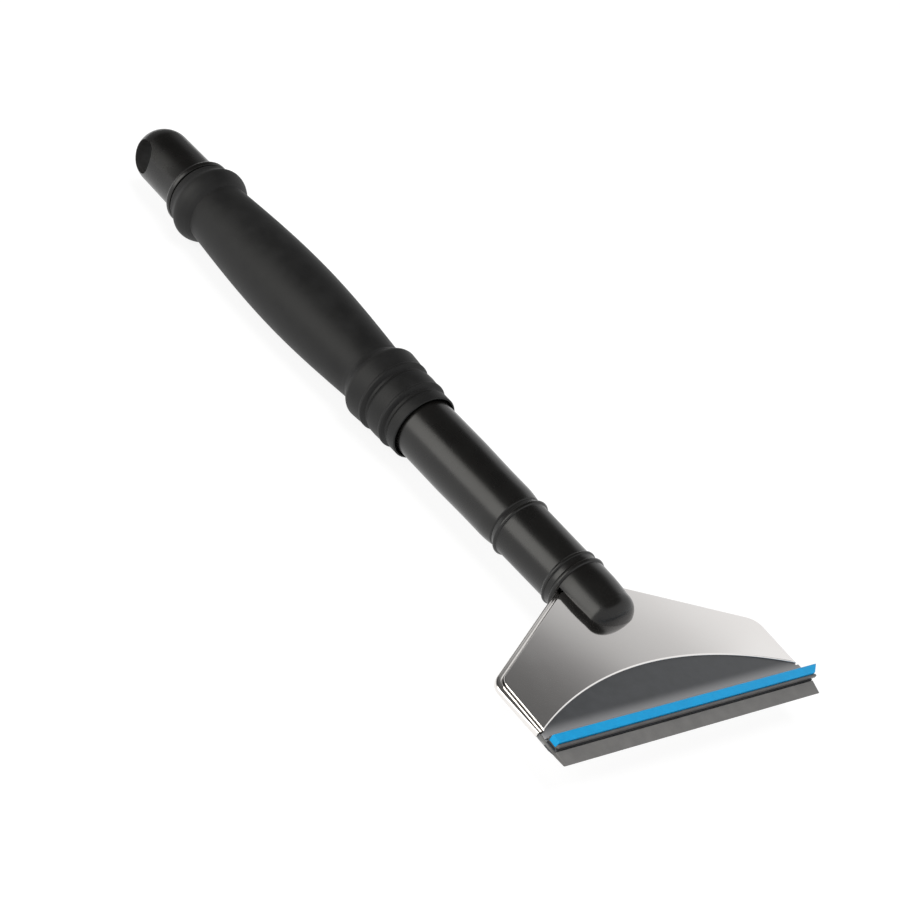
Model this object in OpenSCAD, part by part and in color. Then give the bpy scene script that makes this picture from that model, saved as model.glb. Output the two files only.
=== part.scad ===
// Long-handled hand cleaner for glass: a polished sheet-metal head with a blue
// wiping strip and a grey rubber lip, on a round moulded handle with a soft grip.
//
// Row frame: the origin is the middle of the hang hole at the handle's end.
// +Y runs along the handle away from the head, +X along the lip to the tool's
// right, +Z up out of the head's polished face. Millimetres.

/* [Head] */
// Width of the head across the lip
head_w = 109.5; // [90:0.1:130]
// Pitch of the head's face below the handle axis, in degrees
head_pitch = 2.13; // [0:0.01:6]
// How far the head stands to the right of the handle axis
head_x = -1.1; // [-2:0.1:2]
// How far the head stands back towards the handle
head_y = -0.5; // [-1.5:0.1:0]
// Height of the head's datum plane above the handle axis, at the neck
head_z = 0.8; // [0:0.1:1.5]
// Height of the polished face above that datum plane
face_z = 1.62; // [1.5:0.01:2]
// Overall thickness of the head at its rim
head_t = 2.85; // [2.7:0.01:3.2]
// Thickness of the cover sheets
sheet_t = 0.6; // [0.4:0.05:0.7]
// Half width of the head where it leaves the nose
shoulder_x = 9.3; // [8:0.1:10]
// Station of the head's rear edge
shoulder_y = -5.9; // [-7:0.1:-5]
// Fall of the rear edges from square to the handle, in degrees
sweep = 28.9; // [20:0.1:35]
// Corner radius between a rear edge and a side
corner_r = 5.2; // [2:0.1:8]
// How far the lower cover bulges out past the upper one
bulge = 1.0; // [0.4:0.05:1.2]
// Station of the middle of the upper cover's curved front edge
arc_y = -37.4; // [-40:0.1:-34]
// Radius of that curved front edge
arc_r = 122.2; // [110:0.1:140]

/* [Wiping edge] */
// Station of the carrier's front face
front_y = -56.6; // [-56.8:0.1:-56.4]
// Length of the insert that holds the blue strip
insert_l = 110.3; // [100:0.1:115]
// How far the insert stands to the right of centre
insert_shift = 1; // [0:0.1:2]
// How far the blue strip stands out past the insert, on the right
strip_over = 3; // [0:0.1:4]
// Slanted cut on the strip's right end, along X
strip_slant = 3.4; // [0:0.1:4]
// Length of the rubber lip
lip_l = 109.7; // [100:0.1:112]
// How far the lip reaches past the carrier's front face
lip_reach = 4.2; // [3:0.1:6]
// Sliding clearance on each face of the two wiping parts
slide_gap = 0.08; // [0.05:0.01:0.12]

/* [Handle] */
// Distance from the neck's front bead to the hang hole
hole_y = 225.6; // [200:0.1:250]
// Radius of the hang hole
hole_r = 5.9; // [4:0.1:7]
// Outer radius of the handle tube
tube_r = 10.2; // [9.8:0.05:10.4]
// Radius of the tube's bore
tube_bore_r = 7.4; // [6:0.1:8]
// Station of the tube's front end
tube_front_y = 24; // [23.9:0.1:24.5]
// Station of the tube's rear end
tube_rear_y = 201.3; // [201.1:0.1:201.3]
// Radius of the grip's widest point
grip_r = 13.34; // [12.5:0.01:13.8]
// Radius of the end cap behind its flange
cap_r = 10.1; // [9.5:0.1:10.4]

/* [Fasteners] */
// Radius of the jaw screws' shanks
screw_r = 1.45; // [1.2:0.05:1.5]
// Radius of the jaw screws' heads
screw_head_r = 2.7; // [2.4:0.1:3]
// Radius of the rivets' shanks
rivet_r = 1.2; // [1:0.1:1.4]
// Radius of the rivets' heads
rivet_head_r = 2.2; // [1.8:0.1:2.4]

/* [Hidden] */
$fn = 96;

eps = 0.02;
half_w = head_w / 2;
under_z = face_z - sheet_t;          // underside of the upper cover
base_z = face_z - head_t;            // underside of the head
floor_z = base_z + sheet_t;          // inside of the lower cover
seam_z = face_z - 0.9;               // seam between the two covers' rims
seam_gap = 0.1;
lap_z = (under_z + floor_z) / 2;     // parting of the half lap inside the head
lap_rear_y = -28;
lap_front_y = -35;
slot_end_y = shoulder_y + 0.9;       // rear wall of the nose's slot
lower_front_y = -49.7;               // front edge of the lower cover
tang_w = 12;
tang_end_y = 14;
screw_ys = [-11, -17];
screw_seat_z = -6;
screw_top_z = 4.6;
rivet_xs = [-30, 0, 30];
rivet_y = (lap_rear_y + lap_front_y) / 2;

black = [0.06, 0.06, 0.065];
soft_black = [0.12, 0.12, 0.125];
steel = [0.78, 0.78, 0.78];
slate = [0.27, 0.28, 0.29];
blue = [0.0, 0.45, 0.78];
lip_grey = [0.36, 0.36, 0.36];

// ---------- shared construction ----------

// Puts children drawn from the neck datum into the row frame.
module on_handle() {
    translate([0, -hole_y, 0]) children();
}

// Puts children drawn from the head's own datum beside the neck datum.
module head_place() {
    rotate([head_pitch, 0, 0]) translate([head_x, head_y, head_z]) children();
}

module on_head() {
    on_handle() head_place() children();
}

// A turned shape about the handle axis; profile points are [radius, station].
module turned(profile) {
    rotate([-90, 0, 0]) rotate_extrude() polygon(profile);
}

// A bar along X from x0 to x1 whose section is drawn as [y, z].
module bar(x0, x1, section) {
    translate([x0, 0, 0]) rotate([90, 0, 90]) linear_extrude(x1 - x0) polygon(section);
}

// Points on an arc in the plane, from angle a0 to angle a1.
function arc(cx, cy, r, a0, a1, n) =
    [for (i = [0:n]) let (a = a0 + (a1 - a0) * i / n) [cx + r * cos(a), cy + r * sin(a)]];

// A smooth bulge: stations from y0 to y1, radius r0 to r1 by a half cosine.
function ease(r0, r1, y0, y1, n) =
    [for (i = [0:n]) let (t = i / n) [r0 + (r1 - r0) * (1 - cos(180 * t)) / 2, y0 + (y1 - y0) * t]];

// A quarter-sine rise that starts steep and arrives level at r1.
function crown(r0, r1, y0, y1, n) =
    [for (i = [0:n]) let (t = i / n) [r0 + (r1 - r0) * sin(90 * t), y0 + (y1 - y0) * t]];

function flip(points) = [for (i = [len(points) - 1:-1:0]) [-points[i][0], points[i][1]]];

// Right half of the head's plan outline, moved inwards by inset, rear to side.
function shoulder(inset) =
    let (
        x_side = half_w - inset,
        r = corner_r - inset,
        y_rear = shoulder_y - inset / cos(sweep),
        y_edge = y_rear - (x_side - shoulder_x) * tan(sweep),
        run = r * tan((90 - sweep) / 2)
    )
    concat(
        [[shoulder_x, y_rear]],
        arc(x_side - r, y_edge - run, r, 90 - sweep, 0, 8)
    );

// Station of the curved front edge at a given x.
function arc_front(x) = arc_y - (arc_r - sqrt(arc_r * arc_r - x * x));

function front_arc(x_end, n) =
    [for (i = [0:n]) let (x = x_end - 2 * x_end * i / n) [x, arc_front(x)]];

// Full plan outline of a cover, with its curved front edge.
module cover_plan(inset) {
    polygon(concat(
        shoulder(inset),
        front_arc(half_w - inset, 32),
        flip(shoulder(inset))
    ));
}

// Plan outline cut straight across at station y_front.
module straight_plan(inset, y_front) {
    polygon(concat(
        shoulder(inset),
        [[half_w - inset, y_front], [inset - half_w, y_front]],
        flip(shoulder(inset))
    ));
}

// Plan outline of the inner plate, with its tongue into the neck.
module tang_plan(inset) {
    x = tang_w / 2;
    right = concat([[x, tang_end_y], [x, shoulder(inset)[0][1]]], shoulder(inset));
    polygon(concat(
        right,
        [[half_w - inset, lap_front_y], [inset - half_w, lap_front_y]],
        flip(right)
    ));
}

module slab(z0, z1) {
    translate([0, 0, z0]) linear_extrude(z1 - z0) children();
}

module plan_box(x0, x1, y0, y1) {
    translate([x0, y0]) square([x1 - x0, y1 - y0]);
}

// ---------- handle ----------

// Moulded cap: domed end with the hang hole, flange, hollow spigot in the tube.
module end_cap() {
    dome_y = hole_y - 1;
    flange_front_y = tube_rear_y;
    flange_r = 12.25;
    flange_rear_y = flange_front_y + 2.4;
    spigot_front_y = flange_front_y - 24;
    spigot_bore_r = tube_bore_r - 2;
    color(black) on_handle() difference() {
        turned(concat(
            [[0, spigot_front_y + 18], [spigot_bore_r, spigot_front_y + 18],
             [spigot_bore_r, spigot_front_y], [tube_bore_r - 0.5, spigot_front_y],
             [tube_bore_r, spigot_front_y + 1], [tube_bore_r, flange_front_y],
             [flange_r, flange_front_y]],
            crown(flange_r, flange_r - 1.25, flange_front_y + 0.2, flange_rear_y - 0.6, 6),
            [[cap_r + 0.25, flange_rear_y]],
            arc(0, dome_y, cap_r, 0, 90, 16)
        ));
        translate([0, hole_y, 0]) rotate([0, 90, 0])
            cylinder(r = hole_r, h = 4 * cap_r, center = true);
    }
}

// Soft sleeve: three rings at the front, a barrel, and a collar at the rear.
module grip_sleeve() {
    mouth_y = 70.1;
    mouth_r = 11.0;
    mouth_depth = 4;
    barrel_y = 99.5;
    belly_y = 142.7;
    waist_y = 189.2;
    waist_r = 11.14;
    collar_r = 13.87;
    end_y = tube_rear_y - 0.4;
    color(soft_black) on_handle() turned(concat(
        [[tube_r, end_y], [tube_r, mouth_y + mouth_depth],
         [mouth_r, mouth_y + mouth_depth - 1], [mouth_r, mouth_y]],
        arc(mouth_r + 0.2, mouth_y + 0.4, 0.4, 270, 360, 3),
        [[11.6, mouth_y + 1.6], [11.6, 73.8], [11.2, 74.4], [10.9, 74.9],
         [11.1, 75.7], [12.0, 76.3], [12.25, 77.0], [12.4, 80.8], [12.35, 83.0],
         [12.0, 83.9], [11.5, 84.5], [11.7, 85.3], [12.6, 85.9], [12.9, 86.6],
         [13.1, 90.4]],
        ease(13.28, 11.1, 92.8, barrel_y - 1.7, 8), [[11.0, barrel_y - 0.6]],
        crown(11.0, grip_r, barrel_y, belly_y, 16),
        [for (i = [1:16]) let (t = i / 16)
            [waist_r + (grip_r - waist_r) * cos(90 * t), belly_y + (waist_y - belly_y) * t]],
        crown(12.3, collar_r, waist_y + 1.3, waist_y + 5.6, 8),
        ease(collar_r, 12.2, waist_y + 5.8, end_y - 1.2, 6),
        [[12.0, end_y]]
    ));
}

// Moulded tube: tapered where it shows in front of the grip, straight inside it.
module handle_tube() {
    color(black) on_handle() turned(concat(
        [[tube_bore_r, tube_rear_y], [tube_bore_r, tube_front_y], [9.0, tube_front_y]],
        crown(9.35, 9.88, tube_front_y + 0.4, tube_front_y + 6, 6),
        [[9.91, 38], [10.04, 44], [tube_r, 51], [tube_r, tube_rear_y]]
    ));
}

// Neck with beads, a spigot in the tube, and a slotted nose that grips the head.
module neck_socket() {
    tip_y = -23.4;
    round_y = -17.6;
    round_r = 8.85;
    blunt = 2.5;                     // 2 would round the tip as an ellipse
    bead_e = 21.8;
    spigot_end_y = tube_front_y + 24;
    color(black) on_handle() difference() {
        turned(concat(
            [for (i = [0:16]) let (s = cos(90 * i / 16))
                [round_r * pow(1 - pow(s, blunt), 1 / blunt), round_y + (tip_y - round_y) * s]],
            [[9.5, -11], [9.65, -5.6]],
            arc(9.25, -4.4, 0.9, -70, 70, 5),
            [[9.3, -3.2], [9.3, -1.8]],
            arc(9.25, -0.9, 0.6, -70, 70, 5),
            [[9.2, 0.1], [9.2, 2], [9.4, 20.4]],
            arc(9.4, bead_e, 0.75, -75, 75, 6),
            [[9.1, tube_front_y], [tube_bore_r, tube_front_y],
             [tube_bore_r, spigot_end_y - 1], [tube_bore_r - 0.5, spigot_end_y],
             [0, spigot_end_y]]
        ));
        head_place() {
            slab(base_z, face_z) plan_box(-20, 20, tip_y - 5, slot_end_y);
            slab(floor_z, under_z) plan_box(-tang_w / 2, tang_w / 2, slot_end_y - 1, tang_end_y);
            for (y = screw_ys) translate([0, y, 0]) {
                translate([0, 0, screw_seat_z - 1])
                    cylinder(r = screw_r, h = screw_top_z + 1.4 - screw_seat_z);
                translate([0, 0, -14]) cylinder(r = screw_head_r + 0.2, h = 14 + screw_seat_z);
            }
        }
    }
}

// Screws that clamp the nose's lower jaw and the head up to its upper jaw.
module jaw_screws() {
    head_h = 1.6;
    cross_l = 3.2;
    cross_w = 0.8;
    color(steel) on_head() for (y = screw_ys) translate([0, y, screw_seat_z]) difference() {
        union() {
            translate([0, 0, -head_h]) cylinder(r = screw_head_r, h = head_h);
            translate([0, 0, -eps]) cylinder(r = screw_r, h = screw_top_z - screw_seat_z + eps);
        }
        for (a = [0, 90]) rotate([0, 0, a]) translate([-cross_l / 2, -cross_w / 2, -head_h - 1])
            cube([cross_l, cross_w, 2]);
    }
}

// ---------- head ----------

// Steel tang between the covers: it carries the head and enters the neck.
module core_tang() {
    inset = 1.2;
    color(steel) on_head() difference() {
        slab(floor_z, under_z) tang_plan(inset);
        slab(lap_z, under_z + 1) plan_box(-head_w, head_w, lap_front_y - 1, lap_rear_y);
        for (y = screw_ys) translate([0, y, -5]) cylinder(r = screw_r, h = 10);
        for (x = rivet_xs) translate([x, rivet_y, -5]) cylinder(r = rivet_r, h = 10);
    }
}

// Polished upper cover: flat face with a curved front edge and a turned-down rim.
module top_cover() {
    color(steel) on_head() difference() {
        slab(seam_z + seam_gap / 2, face_z) cover_plan(0);
        slab(seam_z - 1, under_z) intersection() {
            straight_plan(sheet_t, -60);
            plan_box(-half_w, half_w, -60, shoulder_y - sheet_t);
        }
        slab(seam_z - 1, under_z) plan_box(-shoulder_x, shoulder_x, -20, 0);
        for (y = screw_ys) translate([0, y, -5]) cylinder(r = screw_r, h = 10);
    }
}

// Lower cover: a shallow tray whose rim meets the upper cover's at a seam.
module bottom_cover() {
    color(steel) on_head() difference() {
        union() {
            slab(base_z, base_z + 0.35) straight_plan(-bulge / 2, lower_front_y);
            slab(base_z + 0.35, seam_z - seam_gap / 2) straight_plan(-bulge, lower_front_y);
        }
        slab(floor_z, seam_z + 1) straight_plan(sheet_t, lower_front_y - 5);
        slab(floor_z, seam_z + 1) plan_box(-shoulder_x, shoulder_x, -20, 0);
        for (y = screw_ys) translate([0, y, -5]) cylinder(r = screw_r, h = 10);
        for (x = rivet_xs) translate([x, rivet_y, -5]) cylinder(r = rivet_r, h = 10);
    }
}

// Dark moulded carrier: flat web under the cover, groove for the insert on top
// of its front, and a keyhole slot for the lip below that.
module blade_carrier() {
    inset = 1.2;
    step_y = -50.4;
    heel_y = lower_front_y - 0.1;
    color(slate) on_head() difference() {
        union() {
            slab(floor_z, under_z) intersection() {
                straight_plan(inset, step_y - 1);
                plan_box(-head_w, head_w, step_y - 1, lap_rear_y);
            }
            bar(-half_w, half_w, [
                [heel_y, base_z], [-54.5, base_z], [front_y, base_z + 0.4],
                [front_y, under_z - 0.1], [step_y, under_z], [step_y, 0], [heel_y, 0]
            ]);
        }
        slab(floor_z - 1, lap_z) plan_box(-head_w, head_w, lap_front_y, lap_rear_y + 1);
        insert_groove();
        lip_slot();
        for (x = rivet_xs) translate([x, rivet_y, -5]) cylinder(r = rivet_r, h = 10);
    }
}

// Dovetail section of the insert's base, grown by g on every face.
function dovetail(g) = [
    [-52.0 + g, 0.42 - g], [-52.35 + g, 1.05], [-52.35 + g, 2],
    [-55.8 - g, 2], [-55.8 - g, 1.05], [-56.0 - g, 0.42 - g]
];

module insert_groove() {
    bar(-half_w - 1, half_w + 1, dovetail(slide_gap));
}

lip_top_z = 0.16;
lip_low_z = -0.6;
bead_y = -50.9;
bead_z = (lip_top_z + lip_low_z) / 2;
bead_r = 0.6;

module lip_slot() {
    bar(-half_w - 1, half_w + 1, [
        [bead_y, lip_low_z - slide_gap], [front_y - 1, lip_low_z - slide_gap],
        [front_y - 1, lip_top_z + slide_gap], [bead_y, lip_top_z + slide_gap]
    ]);
    translate([-half_w - 1, bead_y, bead_z]) rotate([0, 90, 0])
        cylinder(r = bead_r + slide_gap, h = head_w + 2);
}

// Rivets that hold the lower cover, the tang and the carrier together.
module cover_rivets() {
    color(steel) on_head() for (x = rivet_xs) translate([x, rivet_y, 0]) {
        translate([0, 0, base_z - 0.35]) cylinder(r = rivet_head_r, h = 0.35);
        translate([0, 0, base_z - eps]) cylinder(r = rivet_r, h = under_z - base_z);
    }
}

insert_x0 = insert_shift - insert_l / 2;
insert_x1 = insert_shift + insert_l / 2;

// Channel that holds the blue strip and slides in the carrier's groove.
module strip_insert() {
    color(black) on_head() bar(insert_x0, insert_x1, [
        [-52.0, 0.42], [-52.35, 1.05], [-52.35, 1.9], [-52.75, 1.9], [-52.75, 0.85],
        [-55.4, 0.75], [-55.75, 2.15], [-56.4, 2.1], [-56.4, 1.15], [-55.8, 1.05],
        [-56.0, 0.42]
    ]);
}

// Blue strip, square at the left end and cut on a slant at the right.
module blue_strip() {
    section = [[-52.75, 0.85], [-52.85, 3.35], [-55.7, 2.8], [-55.65, 2.1], [-55.4, 0.75]];
    strip_x1 = insert_x1 + strip_over;
    color(blue) on_head() difference() {
        bar(insert_x0, strip_x1, section);
        translate([strip_x1 - strip_slant, -55.7, -5]) rotate([0, 0, 41])
            translate([0, -8, 0]) cube([20, 8, 20]);
    }
}

// Grey rubber lip with a beaded root in the carrier's slot.
module rubber_lip() {
    tip_y = front_y - lip_reach;
    color(lip_grey) on_head() {
        bar(-lip_l / 2, lip_l / 2, [
            [bead_y, lip_low_z], [front_y - 0.1, lip_low_z], [front_y - 0.1, lip_low_z - 0.2],
            [tip_y + 0.35, -1.0], [tip_y, -0.6], [front_y - 0.15, 0.75],
            [front_y - 0.1, lip_top_z], [bead_y, lip_top_z]
        ]);
        translate([-lip_l / 2, bead_y, bead_z]) rotate([0, 90, 0])
            cylinder(r = bead_r, h = lip_l);
    }
}

end_cap();
grip_sleeve();
handle_tube();
neck_socket();
jaw_screws();
core_tang();
top_cover();
bottom_cover();
blade_carrier();
cover_rivets();
strip_insert();
blue_strip();
rubber_lip();
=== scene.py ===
"""Looks of the long-handled glass cleaner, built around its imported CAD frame."""

import math

import bmesh
import bpy
from mathutils import Matrix, Vector


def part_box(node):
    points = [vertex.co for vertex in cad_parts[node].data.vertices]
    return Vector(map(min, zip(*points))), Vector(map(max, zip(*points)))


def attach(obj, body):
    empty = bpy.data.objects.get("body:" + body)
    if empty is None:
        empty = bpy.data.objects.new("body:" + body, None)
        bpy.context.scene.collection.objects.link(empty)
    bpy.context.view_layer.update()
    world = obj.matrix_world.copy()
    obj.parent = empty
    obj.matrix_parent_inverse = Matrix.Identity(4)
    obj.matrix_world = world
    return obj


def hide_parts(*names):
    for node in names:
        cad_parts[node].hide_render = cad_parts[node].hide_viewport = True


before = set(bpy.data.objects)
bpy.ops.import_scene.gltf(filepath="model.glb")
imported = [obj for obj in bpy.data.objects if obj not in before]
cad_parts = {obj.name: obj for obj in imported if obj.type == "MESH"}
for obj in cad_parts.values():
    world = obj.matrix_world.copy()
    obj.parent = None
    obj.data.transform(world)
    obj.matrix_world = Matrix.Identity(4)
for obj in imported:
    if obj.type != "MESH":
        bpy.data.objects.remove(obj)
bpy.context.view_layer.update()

MM = 0.001
STEPS = 224                      # sides of a turned piece

# ---------- where the CAD stands ----------

# The handle. Lengths are in mm, and stations count back from the neck's front bead.
TUBE_FRONT = 24.0
NECK_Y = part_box("handle_tube")[0].y - TUBE_FRONT * MM
TUBE_REAR = (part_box("handle_tube")[1].y - NECK_Y) / MM
TUBE_R = 10.2
BORE_R = 7.4                     # the tube's bore, and the two spigots in it
CAP_R = 10.1
HOLE_R = 5.9                     # the hang hole, whose middle is the frame's origin
GRIP_R = 13.34
BELLY_Y = 142.7                  # station of the grip's widest point

# The head, in mm in its own frame.
PITCH = math.radians(2.13)
HALF_W = 54.75
FACE_Z = 1.62                    # the polished face
BASE_Z = -1.23                   # the underside
SHEET_T = 0.6
UNDER_Z = FACE_Z - SHEET_T       # underside of the upper cover
FLOOR_Z = BASE_Z + SHEET_T       # inside of the lower cover
SEAM_Z = 0.72                    # seam between the two covers' rims
SEAM_GAP = 0.1
SHOULDER_X = 9.3                 # where a rear edge leaves the nose
SHOULDER_Y = -5.9
SWEEP = math.radians(28.9)       # fall of the rear edges
CORNER_R = 5.2
ARC_Y = -37.4                    # the upper cover's curved front edge
ARC_R = 122.2
LOWER_FRONT_Y = -49.7
FRONT_Y = -56.6                  # front of the carrier
INSERT_X0 = -54.15
INSERT_X1 = 56.15
STRIP_OVER = 3.0                 # how far the blue strip stands out past its channel
LIP_L = 109.7
LIP_REACH = 4.2
TOP_STEP = 0.9                   # how far the upper sheet's rim stands in from the tray's


def head_matrix():
    """The head's own frame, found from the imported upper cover."""
    low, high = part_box("top_cover")
    turn = Matrix.Rotation(PITCH, 4, "X")
    rear_low = turn @ Vector((0, SHOULDER_Y, SEAM_Z + 0.05))
    rear_top = turn @ Vector((0, SHOULDER_Y, FACE_Z))
    front_top = turn @ Vector((0, ARC_Y, FACE_Z))
    origin = Vector((
        (low.x + high.x) / 2,
        high.y - rear_low.y * MM,
        high.z - max(rear_top.z, front_top.z) * MM,
    ))
    return Matrix.Translation(origin) @ turn


HEAD = head_matrix()

# ---------- mesh building ----------


def finish_mesh(name, bm, body, nodes, angle=32):
    """Turns bm into a smooth-shaded object that rides a body and stands for CAD nodes."""
    bmesh.ops.remove_doubles(bm, verts=bm.verts, dist=1e-7)
    bmesh.ops.recalc_face_normals(bm, faces=bm.faces)
    mesh = bpy.data.meshes.new(name)
    bm.to_mesh(mesh)
    bm.free()
    mesh.shade_smooth()
    mesh.set_sharp_from_angle(angle=math.radians(angle))
    piece = bpy.data.objects.new(name, mesh)
    bpy.context.scene.collection.objects.link(piece)
    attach(piece, body)
    if nodes:
        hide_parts(*nodes)
    return piece


def soften(points, radius, closed=False, pieces=5):
    """Rounds the corners of a polyline that turn by more than a few degrees."""
    out = []
    count = len(points)
    for i, here in enumerate(points):
        if not closed and i in (0, count - 1):
            out.append(tuple(here))
            continue
        p = Vector(here)
        before = Vector(points[i - 1]) - p
        after = Vector(points[(i + 1) % count]) - p
        turn = math.pi - before.angle(after, math.pi)
        if turn < math.radians(12):
            out.append(tuple(here))
            continue
        reach = radius * math.tan(min(turn, 2.6) / 2)
        reach = min(reach, 0.45 * before.length, 0.45 * after.length)
        start = p + before.normalized() * reach
        end = p + after.normalized() * reach
        for k in range(pieces + 1):
            t = k / pieces
            spot = start * (1 - t) ** 2 + p * 2 * t * (1 - t) + end * t ** 2
            out.append(tuple(spot))
    return out


def arc(cx, cy, r, a0, a1, n):
    """Points on an arc from angle a0 to a1, in degrees."""
    angles = [math.radians(a0 + (a1 - a0) * i / n) for i in range(n + 1)]
    return [(cx + r * math.cos(a), cy + r * math.sin(a)) for a in angles]


def ease(r0, r1, y0, y1, n):
    """A smooth half cosine from radius r0 to r1."""
    out = []
    for i in range(n + 1):
        t = i / n
        out.append((r0 + (r1 - r0) * (1 - math.cos(math.pi * t)) / 2, y0 + (y1 - y0) * t))
    return out


def crown(r0, r1, y0, y1, n):
    """A rise that starts steep and arrives level at r1."""
    out = []
    for i in range(n + 1):
        t = i / n
        out.append((r0 + (r1 - r0) * math.sin(math.pi / 2 * t), y0 + (y1 - y0) * t))
    return out


def lathe(profile):
    """Turns a closed profile of (radius, station), in mm, about the handle axis."""
    bm = bmesh.new()
    rings = []
    for radius, station in profile:
        y = NECK_Y + station * MM
        if radius < 1e-6:
            rings.append([bm.verts.new((0, y, 0))])
            continue
        ring = []
        for k in range(STEPS):
            a = 2 * math.pi * k / STEPS
            ring.append(bm.verts.new((radius * MM * math.sin(a), y, radius * MM * math.cos(a))))
        rings.append(ring)
    for first, second in zip(rings, rings[1:] + rings[:1]):
        join_rings(bm, first, second)
    return bm


def join_rings(bm, first, second):
    """Faces between two rings of vertices, either of which may be a single point."""
    if len(first) == 1 and len(second) == 1:
        return
    count = max(len(first), len(second))
    for k in range(count):
        n = (k + 1) % count
        if len(first) == 1:
            corners = [first[0], second[n], second[k]]
        elif len(second) == 1:
            corners = [first[k], first[n], second[0]]
        else:
            corners = [first[k], first[n], second[n], second[k]]
        bm.faces.new(corners)


def bar(section, x0, x1, end_of=None, start_of=None):
    """A bar along the head's X from a closed section of (y, z) in mm, with n-gon ends.

    start_of and end_of give where each end stands at a station y, if it isn't square."""
    bm = bmesh.new()
    rings = []
    for place, plain in ((start_of, x0), (end_of, x1)):
        ring = []
        for y, z in section:
            x = place(y) if place else plain
            ring.append(bm.verts.new(HEAD @ (Vector((x, y, z)) * MM)))
        rings.append(ring)
    for first, second in zip(rings, rings[1:]):
        join_rings(bm, first, second)
    bm.faces.new(rings[0])
    bm.faces.new(rings[-1])
    return bm


def bevel(piece, width, segments=3, angle=35):
    """Rounds a piece's sharp edges with real geometry."""
    mod = piece.modifiers.new("rounded_edges", "BEVEL")
    mod.width = width * MM
    mod.segments = segments
    mod.limit_method = "ANGLE"
    mod.angle_limit = math.radians(angle)
    mod.miter_outer = "MITER_ARC"
    mod.harden_normals = False


def cut(piece, cutters):
    """Takes each cutter mesh out of the piece and applies the cuts."""
    for bm in cutters:
        bmesh.ops.recalc_face_normals(bm, faces=bm.faces)
        mesh = bpy.data.meshes.new("cutter")
        bm.to_mesh(mesh)
        bm.free()
        cutter = bpy.data.objects.new("cutter", mesh)
        bpy.context.scene.collection.objects.link(cutter)
        mod = piece.modifiers.new("cut", "BOOLEAN")
        mod.object = cutter
        mod.operation = "DIFFERENCE"
        mod.solver = "EXACT"
        bpy.context.view_layer.update()
        shaped = bpy.data.meshes.new_from_object(
            piece.evaluated_get(bpy.context.evaluated_depsgraph_get())
        )
        piece.modifiers.remove(mod)
        old = piece.data
        piece.data = shaped
        shaped.name = old.name
        bpy.data.meshes.remove(old)
        bpy.data.objects.remove(cutter)
        bpy.data.meshes.remove(mesh)
    piece.data.shade_smooth()
    piece.data.set_sharp_from_angle(angle=math.radians(30))


def rod(axis, centre, radius, length, steps=160, matrix=None):
    """A cutter: a rod of that radius and length, in mm, along an axis through centre."""
    bm = bmesh.new()
    bmesh.ops.create_cone(
        bm, cap_ends=True, segments=steps, radius1=radius * MM, radius2=radius * MM,
        depth=length * MM,
    )
    turn = Vector((0, 0, 1)).rotation_difference(Vector(axis)).to_matrix().to_4x4()
    place = Matrix.Translation(Vector(centre) * MM) @ turn
    bmesh.ops.transform(bm, matrix=(matrix or Matrix.Identity(4)) @ place, verts=bm.verts)
    return bm


def block(low, high):
    """A cutter: a box in the head's frame from corner to corner, in mm."""
    bm = bmesh.new()
    bmesh.ops.create_cube(bm, size=1)
    low = Vector(low) * MM
    high = Vector(high) * MM
    size = high - low
    scale = Matrix.Diagonal((size.x, size.y, size.z, 1))
    bmesh.ops.transform(
        bm, matrix=HEAD @ Matrix.Translation((low + high) / 2) @ scale, verts=bm.verts
    )
    return bm


# ---------- materials ----------


def make_material(name):
    mat = bpy.data.materials.new(name)
    mat.use_nodes = True
    nodes = mat.node_tree.nodes
    links = mat.node_tree.links
    shader = nodes["Principled BSDF"]
    place = nodes.new("ShaderNodeTexCoord")
    return mat, nodes, links, shader, place.outputs["Object"]


def noise(nodes, links, where, scale, detail=3.0):
    """Noise in object space; scale counts features per metre."""
    tex = nodes.new("ShaderNodeTexNoise")
    tex.inputs["Scale"].default_value = scale
    tex.inputs["Detail"].default_value = detail
    tex.inputs["Roughness"].default_value = 0.5
    links.new(where, tex.inputs["Vector"])
    return tex.outputs["Fac"]


def two_tone(nodes, links, factor, first, second):
    """Blends from one tone to the other over the middle of the noise."""
    ramp = nodes.new("ShaderNodeValToRGB")
    ramp.color_ramp.elements[0].position = 0.35
    ramp.color_ramp.elements[0].color = (*first, 1)
    ramp.color_ramp.elements[1].position = 0.65
    ramp.color_ramp.elements[1].color = (*second, 1)
    links.new(factor, ramp.inputs["Fac"])
    return ramp.outputs["Color"]


def map_range(nodes, links, value, source, target, smooth=False):
    """Maps a value from the source range onto the target range."""
    node = nodes.new("ShaderNodeMapRange")
    if smooth:
        node.interpolation_type = "SMOOTHSTEP"
    node.inputs["From Min"].default_value = source[0]
    node.inputs["From Max"].default_value = source[1]
    node.inputs["To Min"].default_value = target[0]
    node.inputs["To Max"].default_value = target[1]
    links.new(value, node.inputs["Value"])
    return node.outputs["Result"]


def math_node(nodes, links, operation, first, second):
    """A math node; second is another socket or a number."""
    node = nodes.new("ShaderNodeMath")
    node.operation = operation
    links.new(first, node.inputs[0])
    if isinstance(second, (int, float)):
        node.inputs[1].default_value = second
    else:
        links.new(second, node.inputs[1])
    return node.outputs["Value"]


def bump(nodes, links, shader, height, depth):
    """A fine grain, depth mm deep."""
    node = nodes.new("ShaderNodeBump")
    node.inputs["Strength"].default_value = 1.0
    node.inputs["Distance"].default_value = depth * MM
    links.new(height, node.inputs["Height"])
    links.new(node.outputs["Normal"], shader.inputs["Normal"])


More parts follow.
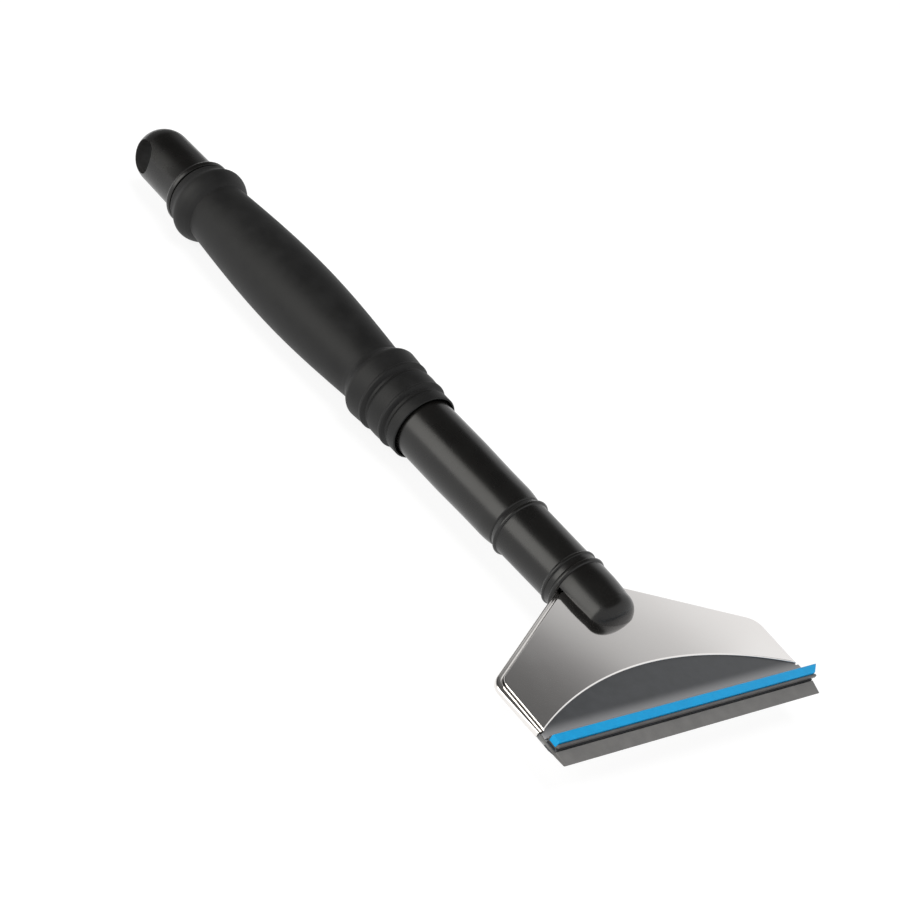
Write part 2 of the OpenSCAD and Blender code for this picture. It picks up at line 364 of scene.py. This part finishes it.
def surface(name, first, second, mottling, roughness, grain, depth, metallic=0.0, specular=0.5):
    """A finish: two close tones mottled, roughness varied with them, and a fine grain."""
    mat, nodes, links, shader, where = make_material(name)
    blotches = noise(nodes, links, where, mottling)
    rough = map_range(nodes, links, blotches, (0.3, 0.7), roughness)
    links.new(two_tone(nodes, links, blotches, first, second), shader.inputs["Base Color"])
    links.new(rough, shader.inputs["Roughness"])
    bump(nodes, links, shader, noise(nodes, links, where, grain, 2.0), depth)
    shader.inputs["Metallic"].default_value = metallic
    shader.inputs["Specular IOR Level"].default_value = specular
    return mat


def painted_reflection_band(mat, node, paler):
    """Painted reflection: the carrier's colour turns paler in a band just behind the blue strip,
    and not in front of it.
    """
    nodes = mat.node_tree.nodes
    links = mat.node_tree.links
    base = nodes["Principled BSDF"].inputs["Base Color"]
    place = nodes.new("ShaderNodeTexCoord")
    row = (HEAD.inverted() @ node.matrix_world)[1]
    along = nodes.new("ShaderNodeVectorMath")
    along.operation = "DOT_PRODUCT"
    along.inputs[1].default_value = row[:3]
    links.new(place.outputs["Object"], along.inputs[0])
    station = along.outputs["Value"]
    band = [y * MM - row[3] for y in (-52.7, -52.6, -47.6)]      # cut-off, palest, plain
    near = map_range(nodes, links, station, band[1:], (1.0, 0.0), smooth=True)
    behind = math_node(nodes, links, "GREATER_THAN", station, band[0])
    mix = nodes.new("ShaderNodeMix")
    mix.data_type = "RGBA"
    links.new(math_node(nodes, links, "MULTIPLY", near, behind), mix.inputs["Factor"])
    links.new(base.links[0].from_socket, mix.inputs["A"])
    mix.inputs["B"].default_value = (*paler, 1)
    links.new(mix.outputs["Result"], base)


def finishes():
    return {
        "moulded_black": surface(
            "moulded_black", (0.0040, 0.0038, 0.0035), (0.0056, 0.0053, 0.0049), 90,
            (0.25, 0.30), 2600, 0.006, specular=0.42,
        ),
        "hole_wall": surface(
            "hole_wall", (0.030, 0.0295, 0.029), (0.042, 0.041, 0.040), 300,
            (0.40, 0.50), 2600, 0.006,
        ),
        "soft_grip": surface(
            "soft_grip", (0.0085, 0.0085, 0.0085), (0.0120, 0.0120, 0.0120), 160,
            (0.48, 0.56), 1900, 0.02, specular=0.22,
        ),
        "polished": surface(
            "polished", (0.895, 0.868, 0.850), (0.912, 0.888, 0.870), 60,
            (0.045, 0.07), 900, 0.0002, metallic=1.0,
        ),
        "polished_lower": surface(
            "polished_lower", (0.80, 0.775, 0.75), (0.83, 0.805, 0.78), 60,
            (0.13, 0.16), 900, 0.0002, metallic=1.0,
        ),
        "steel": surface(
            "steel", (0.50, 0.50, 0.49), (0.60, 0.60, 0.59), 300,
            (0.25, 0.38), 1500, 0.002, metallic=1.0,
        ),
        "slate": surface(
            "slate", (0.030, 0.032, 0.035), (0.038, 0.040, 0.044), 260,
            (0.30, 0.38), 2400, 0.006,
        ),
        "insert_black": surface(
            "insert_black", (0.075, 0.072, 0.071), (0.095, 0.092, 0.090), 300,
            (0.35, 0.45), 2200, 0.006,
        ),
        "blue": surface(
            "blue", (0.0, 0.262, 0.545), (0.0, 0.290, 0.595), 220,
            (0.30, 0.38), 1800, 0.006, specular=0.2,
        ),
        "lip": surface(
            "lip", (0.122, 0.120, 0.117), (0.146, 0.143, 0.139), 260,
            (0.62, 0.74), 1700, 0.02,
        ),
    }


# ---------- handle ----------


def end_cap(mat, hole_mat):
    """Spigot in the tube, flange, and a domed end with the hang hole."""
    rear = TUBE_REAR
    spigot = rear - 24
    blind = spigot + 18
    outer = [(0, blind), (5.4, blind), (5.4, spigot), (BORE_R - 0.5, spigot)]
    outer += [(BORE_R, spigot + 1), (BORE_R, rear), (12.0, rear)]
    outer += [(12.25, rear + 0.7), (12.28, rear + 1.4), (12.0, rear + 2.0)]
    outer += [(11.3, rear + 2.3), (10.4, rear + 2.4), (10.3, rear + 3.2), (10.2, 212)]
    dome = arc(0, 224.6, CAP_R, 0, 90, 40)
    bm = lathe(soften(outer, 0.35) + dome)
    piece = finish_mesh("end_cap_piece", bm, "tool", ["end_cap"])
    cut(piece, [rod((1, 0, 0), (0, 0, 0), HOLE_R, 60)])
    piece.data.materials.append(mat)
    piece.data.materials.append(hole_mat)
    for face in piece.data.polygons:
        if math.hypot(face.center.y, face.center.z) < (HOLE_R + 0.03) * MM:
            face.material_index = 1


def grip_sleeve(mat):
    """Mouth, three rings, a barrel that swells to its belly, and a collar."""
    end = TUBE_REAR - 0.4
    waist_r = 11.14
    body = [(TUBE_R, end), (TUBE_R, 74.1), (11.0, 73.1), (11.0, 70.3)]
    body += arc(11.2, 70.5, 0.4, 240, 350, 6)
    body += [(11.6, 71.7), (11.6, 73.8), (11.2, 74.4), (10.9, 74.9), (11.1, 75.7), (12, 76.2)]
    body += [(12.42, 76.6), (12.42, 77.2), (12.2, 77.7), (12.4, 80.8), (12.35, 83)]
    body += [(12, 83.9), (11.5, 84.5), (11.7, 85.3), (12.5, 85.8), (12.95, 86.2)]
    body += [(12.95, 86.8), (12.8, 87.3), (13.1, 90.4)]
    front = soften(body, 0.16)
    barrel = ease(13.28, 11.1, 92.8, 97.8, 24) + [(11.0, 98.9)]
    barrel += crown(11.0, GRIP_R, 99.5, BELLY_Y, 48)
    for i in range(1, 49):
        t = i / 48
        fall = math.cos(math.pi / 2 * t)
        barrel.append((waist_r + (GRIP_R - waist_r) * fall, BELLY_Y + 46.5 * t))
    collar = crown(12.3, 13.87, 190.5, 194.8, 24) + ease(13.87, 12.2, 195, end - 1.2, 24)
    collar += [(12.0, end - 0.2), (11.8, end)]
    bm = lathe(front + barrel + collar)
    piece = finish_mesh("grip_piece", bm, "tool", ["grip_sleeve"])
    piece.data.materials.append(mat)


def handle_tube(mat):
    """Tapered where it shows in front of the grip, straight inside it."""
    outer = [(BORE_R, TUBE_REAR), (BORE_R, TUBE_FRONT), (9.0, TUBE_FRONT)]
    outer += crown(9.35, 9.88, TUBE_FRONT + 0.4, TUBE_FRONT + 6, 16)
    outer += [(9.91, 38), (10.04, 44), (TUBE_R, 51), (TUBE_R, TUBE_REAR)]
    bm = lathe(soften(outer, 0.2))
    piece = finish_mesh("tube_piece", bm, "tool", ["handle_tube"])
    piece.data.materials.append(mat)


def neck_cutters():
    """The slot for the head, the tongue's pocket, and the screws' holes and wells."""
    tight = 0.01                 # clearance over and under the head
    cutters = [
        block((-20, -30, BASE_Z - tight), (20, SHOULDER_Y + 0.9, FACE_Z + tight)),
        block((-6, -6, FLOOR_Z), (6, 14, UNDER_Z)),
    ]
    for y in (-11, -17):
        cutters.append(rod((0, 0, 1), (0, y, -1), 1.45, 14, 64, HEAD))
        cutters.append(rod((0, 0, 1), (0, y, -11), 2.9, 10, 96, HEAD))
    return cutters


def neck_socket(mat):
    """A blunt nose, three beads, and a spigot in the tube."""
    nose_r = 8.85
    round_y = -17.6
    round_l = 5.8
    blunt = 2.5                  # 2 would round the nose as an ellipse
    spigot_end = TUBE_FRONT + 24
    outer = []
    for i in range(41):
        s = math.cos(math.pi / 2 * i / 40)
        outer.append((nose_r * (1 - s ** blunt) ** (1 / blunt), round_y - round_l * s))
    outer += [(9.15, -15.2), (9.36, -13), (9.5, -11), (9.65, -5.6)]
    outer += arc(9.25, -4.4, 0.9, -70, 70, 14)
    outer += [(9.3, -3.2), (9.3, -1.8)]
    outer += arc(9.25, -0.9, 0.6, -70, 70, 12)
    outer += [(9.2, 0.1), (9.2, 2), (9.4, 20.4)]
    outer += arc(9.4, 21.8, 0.75, -75, 75, 12)
    outer += [(9.1, TUBE_FRONT), (BORE_R, TUBE_FRONT), (BORE_R, spigot_end - 1)]
    outer += [(BORE_R - 0.5, spigot_end), (0, spigot_end)]
    bm = lathe(outer)
    piece = finish_mesh("neck_piece", bm, "tool", ["neck_socket"])
    cut(piece, neck_cutters())
    piece.data.materials.append(mat)


# ---------- head ----------


def shoulder(inset, flare, front_y):
    """Right half of the head's outline from the nose round to the side's front end.

    It is moved inwards by inset, and its side corner stands out by flare."""
    reach = 9                    # width of the outline's outer part that flares
    x_side = HALF_W - inset
    r = CORNER_R - inset
    y_rear = SHOULDER_Y - inset / math.cos(SWEEP)
    y_edge = y_rear - (x_side - SHOULDER_X) * math.tan(SWEEP)
    run = r * math.tan((math.pi / 2 - SWEEP) / 2)
    points = [(SHOULDER_X, y_rear)]
    side_y = y_edge - run
    points += arc(x_side - r, side_y, r, 90 - math.degrees(SWEEP), 0, 20)
    end_y = front_y + 0.06
    for i in range(1, 13):
        points.append((x_side, side_y + (end_y - side_y) * i / 12))
    out = []
    for x, y in points:
        near_side = min(1.0, max(0.0, (x - HALF_W + reach) / reach))
        fade = 1.0 if y > side_y else max(0.0, (y - front_y) / (side_y - front_y))
        out.append((x + flare * near_side ** 2 * fade ** 0.8, y))
    return out


def arc_front(x):
    """Station of the upper cover's curved front edge at x."""
    return ARC_Y - (ARC_R - math.sqrt(ARC_R * ARC_R - x * x))


def outline(inset, flare, front, front_inset):
    """Full outline as (x, y, is_front); front gives the front edge's station at x."""
    steps = 72
    x_end = HALF_W - inset
    end_y = front(x_end) + front_inset
    right = [(x, y, False) for x, y in shoulder(inset, flare, end_y)]
    left = [(-x, y, False) for x, y, _ in reversed(right)]
    edge = []
    for i in range(steps + 1):
        x = x_end - 2 * x_end * i / steps
        edge.append((x, front(x) + front_inset, True))
    return right + edge + left


def stack(levels, front):
    """A closed sheet from levels of (inset, flare, z, front inset, z at the front edge)."""
    bm = bmesh.new()
    rings = []
    for inset, flare, z, front_inset, z_front in levels:
        ring = []
        for x, y, at_front in outline(inset, flare, front, front_inset):
            height = z_front if at_front else z
            ring.append(bm.verts.new(HEAD @ (Vector((x, y, height)) * MM)))
        rings.append(ring)
    for first, second in zip(rings, rings[1:]):
        join_rings(bm, first, second)
    bm.faces.new(rings[0])
    bm.faces.new(rings[-1])
    return bm


def top_cover(mat):
    """A flat face with a rounded rim and a rounded, curved front edge."""
    step = TOP_STEP
    rim_r = 0.3
    lip_r = 0.46                 # rounding of the curved front edge
    low = SEAM_Z + SEAM_GAP / 2
    levels = [(step + rim_r + 0.1, 0, FACE_Z, lip_r + 0.1, FACE_Z)]
    levels.append((step + rim_r + 0.03, 0, FACE_Z, lip_r + 0.03, FACE_Z))
    for i in range(15):
        a = math.pi / 2 * i / 14
        back = 1 - math.sin(a)
        drop = 1 - math.cos(a)
        levels.append((
            step + rim_r * back, 0, FACE_Z - rim_r * drop, lip_r * back, FACE_Z - lip_r * drop
        ))
    levels.append((step + 0.03, 0, low + 0.03, 0, UNDER_Z + 0.06))
    levels.append((step + 0.08, 0, low, 0.05, UNDER_Z + 0.01))
    levels.append((step + 0.28, 0, low, 0.3, UNDER_Z + 0.005))
    levels.append((step + 0.3, 0, UNDER_Z, 0.35, UNDER_Z))
    bm = stack(levels, arc_front)
    piece = finish_mesh("top_cover_piece", bm, "tool", ["top_cover"], 50)
    piece.data.materials.append(mat)


def bottom_cover(mat):
    """A shallow tray whose rim bulges out past the upper cover."""
    top = SEAM_Z - SEAM_GAP / 2
    bulge = 0.6                  # from the tray's edge, which stands 0.1 in, to its fullest
    flare = 0.8                  # how much further the tray stands out at its side corners
    middle = (top + BASE_Z) / 2
    half = 0.98 * (top - BASE_Z) / 2
    levels = [(1.17, 0, FLOOR_Z, 0.3, FLOOR_Z), (1.17, 0, top - 0.05, 0.2, FLOOR_Z - 0.01)]
    levels.append((1.1, 0, top, 0.1, FLOOR_Z - 0.02))
    for i in range(21):
        a = math.pi * i / 20
        out = math.sin(a) ** 0.35
        z_front = FLOOR_Z - 0.04 - (SHEET_T - 0.08) * i / 20
        levels.append((0.1 - bulge * out, flare * out, middle + half * math.cos(a), 0.0, z_front))
    levels += [(0.4, 0, BASE_Z + 0.004, 0.1, BASE_Z + 0.004), (0.6, 0, BASE_Z, 0.3, BASE_Z)]
    bm = stack(levels, lambda x: LOWER_FRONT_Y)
    piece = finish_mesh("bottom_cover_piece", bm, "tool", ["bottom_cover"], 50)
    piece.data.materials.append(mat)


def strip_insert(mat):
    """The black channel, whose foot slides in the carrier's groove."""
    section = [
        (-52.0, 0.42), (-52.35, 1.05), (-52.35, 1.9), (-52.75, 1.9), (-52.75, 0.85),
        (-55.4, 0.75), (-55.75, 2.15), (-56.4, 2.1), (-56.4, 1.15), (-55.8, 1.05), (-56.0, 0.42),
    ]
    bm = bar(soften(section, 0.1, True, 3), INSERT_X0, INSERT_X1)
    piece = finish_mesh("insert_piece", bm, "insert", ["strip_insert"])
    piece.data.materials.append(mat)


def blue_strip(mat):
    """Square at the left end and cut on a slant at the right, with a rounder rear edge."""
    section = [(-52.75, 0.85), (-52.85, 3.35), (-55.7, 2.8), (-55.65, 2.1), (-55.4, 0.75)]
    x1 = INSERT_X1 + STRIP_OVER
    slant = 3.4
    slope = math.tan(math.radians(41))

    def slanted(y):
        return min(x1, x1 - slant + (y + 55.7) / slope)

    rounded = soften(section, 0.25, True, 5)
    rear_top = soften(section[:3], 0.8, False, 8)[1:-1]
    rounded = rounded[0:6] + rear_top + rounded[12:]
    bm = bar(rounded, INSERT_X0, x1, slanted)
    piece = finish_mesh("strip_piece", bm, "insert", ["blue_strip"])
    bevel(piece, 0.12)
    piece.data.materials.append(mat)


def rubber_lip(mat):
    """A wedge-shaped lip, rounded at its left corner, with a beaded root in the carrier."""
    half_l = LIP_L / 2
    tip_y = FRONT_Y - LIP_REACH
    corner_l = 1.6
    section = [
        (FRONT_Y - 0.1, -0.6), (FRONT_Y - 0.1, -0.8), (tip_y + 0.35, -1.0), (tip_y, -0.6),
        (FRONT_Y - 0.15, 0.75), (FRONT_Y - 0.1, 0.16), (-51.36, 0.16),
    ]
    section = soften(section, 0.22, True, 5) + arc(-50.9, -0.22, 0.6, 140.7, -140.7, 24)

    def corner(y):
        return -half_l + 1.2 * max(0.0, (tip_y + corner_l - y) / corner_l) ** 2

    bm = bar(section, -half_l, half_l, start_of=corner)
    piece = finish_mesh("lip_piece", bm, "lip", ["rubber_lip"])
    bevel(piece, 0.15)
    piece.data.materials.append(mat)


def kept_nodes(mats):
    """CAD nodes that are shown as they are, with a new finish."""
    rows = [
        ("blade_carrier", "slate", "carrier_slate"),
        ("jaw_screws", "steel", "screw_steel"),
        ("core_tang", "steel", "core_steel"),
        ("cover_rivets", "steel", "screw_steel"),
    ]
    for name, finish, slot in rows:
        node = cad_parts[name]
        node.data.materials.clear()
        node.data.materials.append(mats[finish])
    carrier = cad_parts["blade_carrier"]
    bevel(carrier, 0.12, 2, 40)
    # The carrier's slate gets a painted reflection, a paler band just behind the blue strip.
    painted_reflection_band(mats["slate"], carrier, (0.24, 0.24, 0.244))


# ---------- studio ----------


def studio_floor():
    """A pale floor just under the grip, which glows a little so that shadows stay faint."""
    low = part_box("grip_sleeve")[0].z
    bm = bmesh.new()
    bmesh.ops.create_grid(bm, x_segments=8, y_segments=8, size=4.0)
    mesh = bpy.data.meshes.new("floor")
    bm.to_mesh(mesh)
    bm.free()
    floor = bpy.data.objects.new("floor", mesh)
    floor.location.z = low - 0.2 * MM
    bpy.context.scene.collection.objects.link(floor)
    mat = bpy.data.materials.new("floor_white")
    mat.use_nodes = True
    shader = mat.node_tree.nodes["Principled BSDF"]
    shader.inputs["Base Color"].default_value = (0.20, 0.20, 0.20, 1)
    shader.inputs["Roughness"].default_value = 0.9
    shader.inputs["Specular IOR Level"].default_value = 0.1
    shader.inputs["Emission Color"].default_value = (1, 1, 1, 1)
    shader.inputs["Emission Strength"].default_value = 0.86
    mesh.materials.append(mat)


def sky_ramp(nodes, links, height):
    """Brightness against elevation: pale up to about 31 degrees, dark from 37 upwards."""
    horizon = 0.95
    zenith = 0.12
    levels = [
        (0, 0.95), (25, 0.93), (31.2, 0.88), (32.1, 0.78), (32.6, 0.67), (33.2, 0.57),
        (34.0, 0.51), (34.4, 0.41), (34.8, 0.31), (35.2, 0.225), (35.8, 0.16),
        (36.6, 0.125), (38.5, 0.10), (60, 0.10),
    ]
    ramp = nodes.new("ShaderNodeValToRGB")
    links.new(height, ramp.inputs["Fac"])
    elements = ramp.color_ramp.elements
    elements[0].position = 0
    elements[0].color = (horizon, horizon, horizon, 1)
    elements[1].position = 1
    elements[1].color = (zenith, zenith, zenith, 1)
    for degrees, level in levels:
        stop = elements.new(math.sin(math.radians(degrees)))
        stop.color = (level, level, level, 1)
    return ramp.outputs["Color"]


def studio_world():
    """A bright horizon under a dark dome, dimmer far behind the handle's end."""
    world = bpy.data.worlds.new("studio")
    bpy.context.scene.world = world
    world.use_nodes = True
    nodes = world.node_tree.nodes
    links = world.node_tree.links
    backdrop = nodes["Background"]
    place = nodes.new("ShaderNodeTexCoord")
    split = nodes.new("ShaderNodeSeparateXYZ")
    links.new(place.outputs["Generated"], split.inputs["Vector"])
    along = split.outputs["Y"]
    fade = map_range(nodes, links, along, (0.46, 0.66), (1.0, 0.3), smooth=True)
    links.new(fade, backdrop.inputs["Strength"])
    near_side = map_range(nodes, links, along, (0.24, 0.35), (0.22, 0.0), smooth=True)
    height = math_node(nodes, links, "SUBTRACT", split.outputs["Z"], near_side)
    links.new(sky_ramp(nodes, links, height), backdrop.inputs["Color"])


def softbox(name, place, target, width, height, radiance, colour):
    """A rectangular area light with an even face."""
    lamp = bpy.data.lights.new(name, "AREA")
    lamp.shape = "RECTANGLE"
    lamp.size = width
    lamp.size_y = height
    lamp.energy = radiance * math.pi * width * height
    lamp.color = colour
    box = bpy.data.objects.new(name, lamp)
    box.location = place
    aim = Vector(target) - Vector(place)
    box.rotation_euler = aim.to_track_quat("-Z", "Y").to_euler()
    bpy.context.scene.collection.objects.link(box)
    return box


def studio_lights():
    """A side softbox that the head and handle mirror, and a top one that only lights."""
    middle = Vector((0, -0.15, 0))
    warm = (1.0, 0.985, 0.93)
    white = (1, 1, 1)
    side = Vector((-0.83, 0.53, 0.33)).normalized() * 1.1 - Vector((0.11, 0.17, 0))
    softbox("side_softbox", middle + side, middle, 1.0, 0.94, 2.8, warm)
    top = softbox("top_softbox", (0.0, -0.2, 1.5), middle, 1.0, 1.0, 4.4, white)
    top.visible_glossy = False


def camera():
    """The view from the front left and above, solved from the rings and the head's edges."""
    data = bpy.data.cameras.new("camera")
    data.lens = 80.805
    data.sensor_width = 36
    data.clip_start = 0.01
    cam = bpy.data.objects.new("camera", data)
    right = Vector((0.71491, -0.58844, 0.37768))
    up = Vector((0.08645, 0.61039, 0.78737))
    back = Vector((-0.69385, -0.53025, 0.48724))
    turn = Matrix((right, up, back)).transposed().to_4x4()
    cam.matrix_world = Matrix.Translation((-0.42323, -0.49141, 0.29841)) @ turn
    bpy.context.scene.collection.objects.link(cam)
    bpy.context.scene.camera = cam


def build():
    mats = finishes()
    end_cap(mats["moulded_black"], mats["hole_wall"])
    grip_sleeve(mats["soft_grip"])
    handle_tube(mats["moulded_black"])
    neck_socket(mats["moulded_black"])
    top_cover(mats["polished"])
    bottom_cover(mats["polished_lower"])
    strip_insert(mats["insert_black"])
    blue_strip(mats["blue"])
    rubber_lip(mats["lip"])
    kept_nodes(mats)
    studio_floor()
    studio_world()
    studio_lights()
    camera()
    bpy.context.scene.view_settings.view_transform = "Standard"


build()
bpy.context.view_layer.update()
